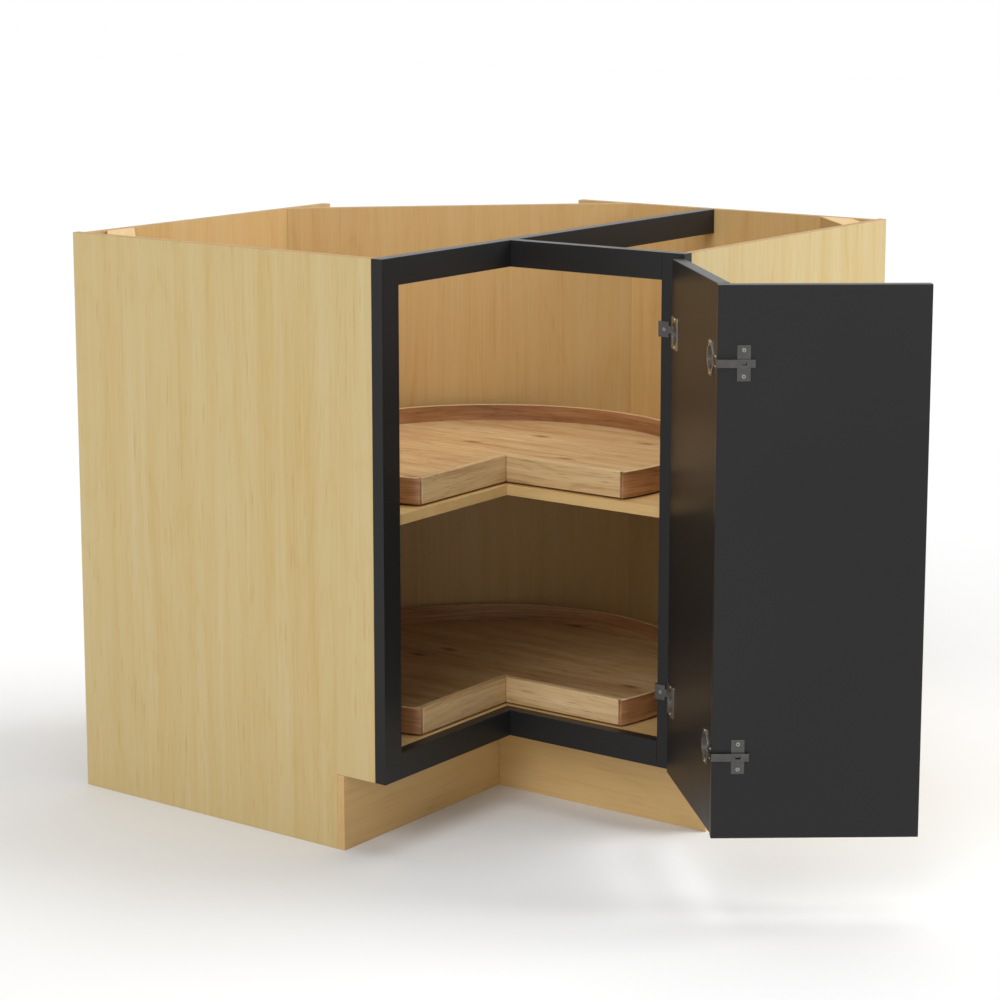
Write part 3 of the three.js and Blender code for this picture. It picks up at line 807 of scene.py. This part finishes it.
@dataclass
class ScrewTree(GeometryTree):
    """A tree that sets a cross-head screw on every point, turned at random."""

    name: str = "screws"
    kinds: tuple[tuple[str, str], ...] = (
        ("Geometry", "Geometry"),
        ("Width", "Float"),
        ("Depth", "Float"),
        ("Seed", "Int"),
        ("Material", "Material"),
    )
    head_points: int = 32
    top_radius: float = 0.36  # of the head's width, as are the next three
    foot_radius: float = 0.5
    slot_length: float = 0.55
    slot_width: float = 0.17
    slot_depth: float = 1.3  # twice the slots' depth, in heights of the head

    def head(self, tree: NodeTree, given: NodeOutputs) -> Node:
        """Add a low domed head with its cross cut in, the head's top at height 0.

        Args:
            tree: The screws' geometry tree.
            given: The outputs of the tree's input node.

        Returns:
            The node that cuts the cross.
        """
        sizes = {}
        for name, source, factor in (
            ("top", "Width", self.top_radius),
            ("foot", "Width", self.foot_radius),
            ("drop", "Depth", -1.0),
            ("long", "Width", self.slot_length),
            ("short", "Width", self.slot_width),
            ("deep", "Depth", self.slot_depth),
        ):
            inputs = {0: given[source], 1: factor}
            sizes[name] = add_node(tree, "ShaderNodeMath", inputs, operation="MULTIPLY")
        inputs = {
            "Vertices": self.head_points,
            "Radius Top": sizes["top"],
            "Radius Bottom": sizes["foot"],
            "Depth": given["Depth"],
        }
        cone = add_node(tree, "GeometryNodeMeshCone", inputs)
        sink = add_node(tree, "ShaderNodeCombineXYZ", {"Z": sizes["drop"]})
        lowered = add_node(tree, "GeometryNodeTransform", {"Geometry": cone, "Translation": sink})
        cut = add_node(
            tree, "GeometryNodeMeshBoolean", {"Mesh 1": lowered}, operation="DIFFERENCE", solver="MANIFOLD"
        )
        for x, y in (("long", "short"), ("short", "long")):
            inputs = {"X": sizes[x], "Y": sizes[y], "Z": sizes["deep"]}
            size = add_node(tree, "ShaderNodeCombineXYZ", inputs)
            slot = add_node(tree, "GeometryNodeMeshCube", {"Size": size})
            tree.links.new(slot.outputs["Mesh"], cut.inputs["Mesh 2"])
        return cut

    def shape(self, tree: NodeTree, given: NodeOutputs) -> Node:
        """Set a head on every point, turned at random about the way that its screw faces.

        Args:
            tree: The screws' geometry tree.
            given: The outputs of the tree's input node.

        Returns:
            The node that places the heads.
        """
        inputs = {"Name": FACING}
        facing = add_node(tree, "GeometryNodeInputNamedAttribute", inputs, data_type="FLOAT_VECTOR")
        inputs = {"Vector": facing.outputs["Attribute"]}
        outward = add_node(tree, "FunctionNodeAlignRotationToVector", inputs, axis="Z")
        least, most = 2, 3  # the sockets of a plain number's range
        inputs = {least: 0.0, most: math.tau, "Seed": given["Seed"]}
        spin = add_node(tree, "FunctionNodeRandomValue", inputs, data_type="FLOAT").outputs[1]
        turn = add_node(tree, "ShaderNodeCombineXYZ", {"Z": spin})
        spun = add_node(tree, "FunctionNodeEulerToRotation", {"Euler": turn})
        inputs = {"Rotation": outward, "Rotate By": spun}
        turned = add_node(tree, "FunctionNodeRotateRotation", inputs, rotation_space="LOCAL")
        inputs = {"Points": given["Geometry"], "Instance": self.head(tree, given), "Rotation": turned}
        return add_node(tree, "GeometryNodeInstanceOnPoints", inputs)


# ---------------- trays


@dataclass
class NotchBoard(Board):
    """A notch board of a tray, cut back at its far end so that the bent rim runs on over it."""

    axis: Vector = field(kw_only=True)
    inside: float = field(kw_only=True)  # the rim's inner radius, less the seam

    def mesh(self) -> Mesh:
        """Cut back the far end of the board's copy.

        Returns:
            The board's copy, which ends at the rim's inner face.
        """
        mesh = super().mesh()
        across, along = (0, 1) if self.grain is Grain.ALONG_Y else (1, 0)
        for vertex in mesh.vertices:
            out = vertex.co - self.axis
            if out.xy.length > self.inside:
                reach = math.sqrt(self.inside**2 - out[across] ** 2)
                vertex.co[along] = self.axis[along] + math.copysign(reach, out[along])
        return mesh


@dataclass
class Tray:
    """A revolving kidney tray: its floor, bent rim and notch boards."""

    level: str
    offset: float  # where in the wood's pattern the tray's floor is cut
    rim_tree: RimTree
    board_offset: float = 2.3  # from one piece's place in the pattern to the next
    rim_offset: float = 5.0  # for each metre of the rim's height above the floor
    rim_thickness_mm: float = 6.0
    rim_ease_mm: float = 1.6
    board_ease_mm: float = 1.4
    floor_ease_mm: float = 0.4
    notch_from_axis_mm: float = 97.0
    seam_mm: float = 0.2
    steps: int = 120

    @property
    def body(self) -> str:
        """The body that this tray is."""
        return f"{self.level}_tray"

    def axis(self) -> Vector:
        """Return the middle of the tray's bearing, which is its axis."""
        low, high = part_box(f"{self.level}_bearing_top")
        return (low + high) / 2

    def radius(self) -> float:
        """Return the tray's outer radius."""
        low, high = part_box(f"{self.level}_tray_rim")
        return (high.x - low.x) / 2

    def rim(self) -> None:
        """Bend the rim, from one notch board round the back to the other, in painted shade, its top edge
        in the paler board wood as a painted lit top.
        """
        low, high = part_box(f"{self.level}_tray_rim")
        axis, radius = self.axis(), self.radius()
        first = math.acos(self.notch_from_axis_mm * MM / radius)
        run_on = math.pi / 2 - first  # how far each end runs on into the notch's quarter
        values = {
            "Radius": radius,
            "Thickness": self.rim_thickness_mm * MM,
            "Height": high.z - low.z,
            "Ease": self.rim_ease_mm * MM,
            "Start": -first,
            "Sweep": -(1.5 * math.pi + 2 * run_on),
            "Steps": self.steps,
            "Centre": Vector((axis.x, axis.y, (low.z + high.z) / 2)),
            # the rim's wood, darkened as painted shade
            "Material": SHADED_RIM_PINE.material(),
        }
        piece = new_object(f"{self.level}_bent_rim", bpy.data.meshes.new(f"{self.level}_bent_rim"))
        self.rim_tree.drive(piece, values)
        piece.modifiers.new("flat faces", "WEIGHTED_NORMAL")
        settle(piece)

        def place(point: Vector) -> Place:
            """Give a point's place in the strip as it was before it was bent.

            Args:
                point: A point of the rim.

            Returns:
                How far the point lies across, through and along the strip.
            """
            out = Vector((point.x - axis.x, point.y - axis.y))
            turn = math.atan2(-out.x + out.y, -out.x - out.y)
            return (point.z, out.length, turn * radius + self.rim_offset * low.z)

        write_grain(piece.data, place)
        # the faces that look up get the paler board wood: a painted lit top over the rim's painted shade
        BOARD_AND_LIT_TOP_PINE.cover_top(piece.data)
        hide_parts(f"{self.level}_tray_rim")
        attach(piece, self.body)
        log.info("%s_tray_rim: %d faces", self.level, len(piece.data.polygons))

    def build(self) -> None:
        """Make the tray's floor, its notch boards and its rim."""
        floor = f"{self.level}_tray_floor"
        Board(floor, self.body, TRAY_PINE, self.floor_ease_mm, Grain.ALONG_X, self.offset).build()
        inside = self.radius() - (self.rim_thickness_mm + self.seam_mm) * MM
        offset = self.offset
        for side, grain in (("left", Grain.ALONG_Y), ("right", Grain.ALONG_X)):
            offset += self.board_offset
            NotchBoard(
                f"{self.level}_tray_{side}_board",
                self.body,
                BOARD_AND_LIT_TOP_PINE,
                self.board_ease_mm,
                grain,
                offset,
                axis=self.axis(),
                inside=inside,
            ).build()
        self.rim()


# ---------------- hinges, screws and bearings


@dataclass
class Hardware:
    """The hinges' and bearings' metal, with the screws that hold the hinges."""

    swing_open: float = 135.0  # degrees
    fold_open: float = 127.5
    broad_mm2: float = 150.0  # the least area of a face that screws can sit on
    aligned: float = 0.999  # the cosine from which a face looks a given way
    spot_digits: int = 5  # faces whose places agree to this many digits lie in one plane
    end_mm: float = 0.05  # corners this close below a node's top belong to its upper end
    corner_digits: int = 6  # corners whose places agree to this many digits are one
    ease_mm: float = 0.2
    screw_mm: float = 7.0
    cup_screw_mm: float = 4.8
    frame_screw_mm: float = 6.5
    head_mm: float = 1.6
    rise_mm: float = 0.45  # of a head's top above the sheet
    frame_rise_mm: float = 0.15
    frame_screw_in_mm: float = 9.6  # from the plate's wrapped end
    cup_screw_end_mm: float = 3.3  # a flange's end to its screw
    plate_screw_end_mm: float = 6.5
    seed: int = 7

    def facing(self, closed: Vector, degrees: float) -> Vector:
        """Return the way a door's inner face looks once the door stands open."""
        return Matrix.Rotation(math.radians(degrees), 3, "Z") @ closed

    def surface(self, node: str, way: Vector) -> float:
        """Find the outermost broad flat face of a node.

        Args:
            node: The node's name.
            way: The way that the face looks.

        Returns:
            How far along that way the face lies.
        """
        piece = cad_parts[node]
        spots: dict[float, float] = {}
        for face in piece.data.polygons:
            if (piece.matrix_world.to_3x3() @ face.normal).normalized().dot(way) > self.aligned:
                spot = round((piece.matrix_world @ face.center).dot(way), self.spot_digits)
                spots[spot] = spots.get(spot, 0.0) + face.area
        return max(spot for spot, area in spots.items() if area > self.broad_mm2 * MM * MM)

    def middle(self, node: str) -> Vector:
        """Find the middle of an upright sheet from its upper end.

        Args:
            node: The node's name.

        Returns:
            The middle of the upper end's corners, at the height of the node's middle.
        """
        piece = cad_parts[node]
        corners = [piece.matrix_world @ vertex.co for vertex in piece.data.vertices]
        top, low = max(c.z for c in corners), min(c.z for c in corners)
        end = [c for c in corners if c.z > top - self.end_mm * MM]
        end = {tuple(round(v, self.corner_digits) for v in c) for c in end}
        x, y = (sum(c[axis] for c in end) / len(end) for axis in (0, 1))
        return Vector((x, y, (top + low) / 2))

    def on_sheet(self, node: str, way: Vector, from_end_mm: float) -> list[Screw]:
        """Place the two screws of an upright sheet, one near each end.

        Args:
            node: The sheet's name.
            way: The way that the sheet faces.
            from_end_mm: A screw's distance from the sheet's end, in millimetres.

        Returns:
            Both screws, the lower first.
        """
        spot = self.middle(node)
        low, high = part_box(node)
        reach = (high.z - low.z) / 2 - from_end_mm * MM
        spot += way * (self.surface(node, way) + self.rise_mm * MM - spot.dot(way))
        return [(spot + Vector((0, 0, side * reach)), way) for side in (-1, 1)]

    def on_frame(self, node: str) -> Screw:
        """Place the screw of a plate on the face frame.

        Args:
            node: The plate's name.

        Returns:
            The screw.
        """
        way = Vector((0, -1, 0))
        low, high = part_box(node)
        front = self.surface(node, way) + self.frame_rise_mm * MM
        return Vector((low.x + self.frame_screw_in_mm * MM, -front, (low.z + high.z) / 2)), way

    def screws(self, body: str, tree: ScrewTree, places: list[Screw], width_mm: float) -> None:
        """Set one body's screws at their places.

        Args:
            body: The body that the screws ride on.
            tree: The screws' tree.
            places: The place and facing of each screw.
            width_mm: The width of a head, in millimetres.
        """
        mesh = bpy.data.meshes.new(f"{body}_screws")
        mesh.from_pydata([spot for spot, _ in places], [], [])
        layer = mesh.attributes.new(FACING, "FLOAT_VECTOR", "POINT")
        for value, (_, way) in zip(layer.data, places):
            value.vector = way
        piece = new_object(f"{body}_screws", mesh)
        values = {
            "Width": width_mm * MM,
            "Depth": self.head_mm * MM,
            "Seed": self.seed + len(body),
            "Material": NICKEL.material(),
        }
        tree.drive(piece, values)
        settle(piece)
        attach(piece, body)
        log.info("screws on %s: %d", body, len(places))

    def metal(self) -> None:
        """Ease the edges of the hinges' sheet, and give the pins and bearings their finish."""
        bodies = {
            "swing_hinge_base": "cabinet",
            "swing_hinge_cup": "swing_door",
            "fold_hinge_cup": "swing_door",
            "fold_hinge_plate": "folding_door",
            "fold_hinge_arm": "folding_door",
        }
        for name, node in list(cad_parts.items()):
            part = name.split("_", 1)[1]
            if part in bodies:
                # the cups keep the bright nickel; the plates and arms take its darker copy, which is
                # painted shade
                plating = NICKEL if part.endswith("cup") else SHADED_NICKEL
                Board(name, bodies[part], plating, self.ease_mm).build()
            elif "bearing" in name or name.endswith("_pin"):
                plating = ZINC if "bearing" in name else NICKEL
                node.data.materials.clear()
                node.data.materials.append(plating.material())
                log.info("%s: %s", name, plating.name)

    def build(self) -> None:
        """Dress the metal, and set the screws."""
        self.metal()
        swing_way = self.facing(Vector((0, 1, 0)), self.swing_open)
        fold_way = self.facing(Vector((-1, 0, 0)), self.fold_open)
        tree = ScrewTree()
        tree.build()
        on_swing: list[Screw] = []
        on_fold: list[Screw] = []
        on_frame: list[Screw] = []
        for level in LEVELS:
            for hinge in ("swing", "fold"):
                cup = f"{level}_{hinge}_hinge_cup"
                on_swing += self.on_sheet(cup, swing_way, self.cup_screw_end_mm)
            plate = f"{level}_fold_hinge_plate"
            on_fold += self.on_sheet(plate, fold_way, self.plate_screw_end_mm)
            on_frame.append(self.on_frame(f"{level}_swing_hinge_base"))
        self.screws("swing_door", tree, on_swing, self.cup_screw_mm)
        self.screws("folding_door", tree, on_fold, self.screw_mm)
        self.screws("cabinet", tree, on_frame, self.frame_screw_mm)


# ---------------- stage


@dataclass(frozen=True)
class Lamp:
    """A broad soft lamp far off: its strength, and where it stands as seen from the cabinet."""

    name: str
    strength: float
    bearing: float  # degrees from -Y towards +X
    height: float  # degrees above the floor
    spread: float = 35.0  # degrees, as wide as the lamp looks


@dataclass
class Stage:
    """The pale floor, the lamps and the camera."""

    floor_size: float = 40.0
    floor_colour: str = "#e8e8e8"
    world_light: float = 0.08
    lamps: tuple[Lamp, ...] = (
        Lamp("front", 1.05, 10.0, 40.0),
        Lamp("low front", 0.4, 2.0, 12.0),
        Lamp("beside the camera", 0.4, 40.0, 20.0, 45.0),
        Lamp("right", 0.3, 80.0, 15.0),
        Lamp("back right", 2.25, 130.0, 31.0),
        Lamp("overhead", 1.65, 180.0, 82.0, 50.0),
    )
    sensor_mm: float = 36.0
    lens_mm: float = 94.357
    azimuth: float = 36.217  # degrees, the camera's turn from facing +Y
    tilt: float = 9.804  # degrees below level
    shift: float = -0.1
    sight: float = 100.0
    eye_mm: Place = (2884.16, -3741.32, 1304.42)  # from the room corner
    panel_mm: Place = (6.35, -914.4, 0.0)  # left side panel's low corner, from the room corner

    def room_corner(self) -> Vector:
        """Return where the corner of the room's walls and floor lies in the frame."""
        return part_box("left_side_panel")[0] - Vector(self.panel_mm) * MM

    def camera(self) -> None:
        """Set the camera where the photograph was taken from."""
        data = bpy.data.cameras.new("camera")
        data.lens = self.lens_mm
        data.sensor_width = self.sensor_mm
        data.shift_y = self.shift
        data.clip_end = self.sight
        camera = bpy.data.objects.new("camera", data)
        bpy.context.scene.collection.objects.link(camera)
        camera.location = self.room_corner() + Vector(self.eye_mm) * MM
        turn, dip = math.radians(self.azimuth), math.radians(self.tilt)
        camera.rotation_euler = (math.pi / 2 - dip, 0.0, turn)
        bpy.context.scene.camera = camera

    def world(self) -> None:
        """Light the scene evenly from all round, on a white background."""
        world = bpy.data.worlds.new("studio")
        bpy.context.scene.world = world
        world.use_nodes = True
        tree = world.node_tree
        tree.nodes.clear()
        path = add_node(tree, "ShaderNodeLightPath").outputs
        seen = path["Is Camera Ray"]
        for ray in ("Is Glossy Ray", "Is Transmission Ray"):
            seen = add_node(tree, "ShaderNodeMath", {0: seen, 1: path[ray]}, operation="MAXIMUM")
        inputs = {"Value": seen, "To Min": self.world_light, "To Max": 1.0}
        strength = add_node(tree, "ShaderNodeMapRange", inputs)
        light = add_node(tree, "ShaderNodeBackground", {"Color": (1, 1, 1, 1), "Strength": strength})
        add_node(tree, "ShaderNodeOutputWorld", {"Surface": light})

    def floor(self) -> None:
        """Lay the pale floor, which keeps the cabinet's shadow."""
        half = self.floor_size / 2
        mesh = bpy.data.meshes.new("floor")
        corners = [(-half, -half, 0), (half, -half, 0), (half, half, 0), (-half, half, 0)]
        mesh.from_pydata(corners, [], [(0, 1, 2, 3)])
        made = bpy.data.materials.new("studio floor, painted white")
        made.use_nodes = True
        tree = made.node_tree
        tree.nodes.clear()
        white = add_node(tree, "ShaderNodeBsdfDiffuse", {"Color": linear(self.floor_colour)})
        add_node(tree, "ShaderNodeOutputMaterial", {"Surface": white})
        mesh.materials.append(made)
        new_object("floor", mesh)

    def hang(self, lamp: Lamp) -> None:
        """Hang one lamp, far off and turned to the cabinet.

        Args:
            lamp: The lamp.
        """
        data = bpy.data.lights.new(lamp.name, "SUN")
        data.energy = lamp.strength
        data.angle = math.radians(lamp.spread)
        bearing, height = math.radians(lamp.bearing), math.radians(lamp.height)
        flat = math.cos(height)
        away = Vector((flat * math.sin(bearing), -flat * math.cos(bearing), math.sin(height)))
        piece = bpy.data.objects.new(lamp.name, data)
        bpy.context.scene.collection.objects.link(piece)
        piece.rotation_euler = away.to_track_quat("Z", "Y").to_euler()

    def build(self) -> None:
        """Set up the world, the floor, the camera and the lamps."""
        self.world()
        self.floor()
        self.camera()
        for lamp in self.lamps:
            self.hang(lamp)
        bpy.context.scene.view_settings.view_transform = "Standard"
        log.info("stage: floor, camera and %d lamps", len(self.lamps))


# ---------------- the whole


def main() -> None:
    """Build the cabinet's sub-assemblies in order, and then the stage."""
    logging.basicConfig(level=logging.INFO, format="%(name)s: %(message)s")
    Carcass().build()
    FaceFrame().build()
    rim_tree = RimTree()
    rim_tree.build()
    for level, offset in LEVELS.items():
        Tray(level, offset, rim_tree).build()
    Doors().build()
    Hardware().build()
    Stage().build()


if __name__ == "__main__":
    main()
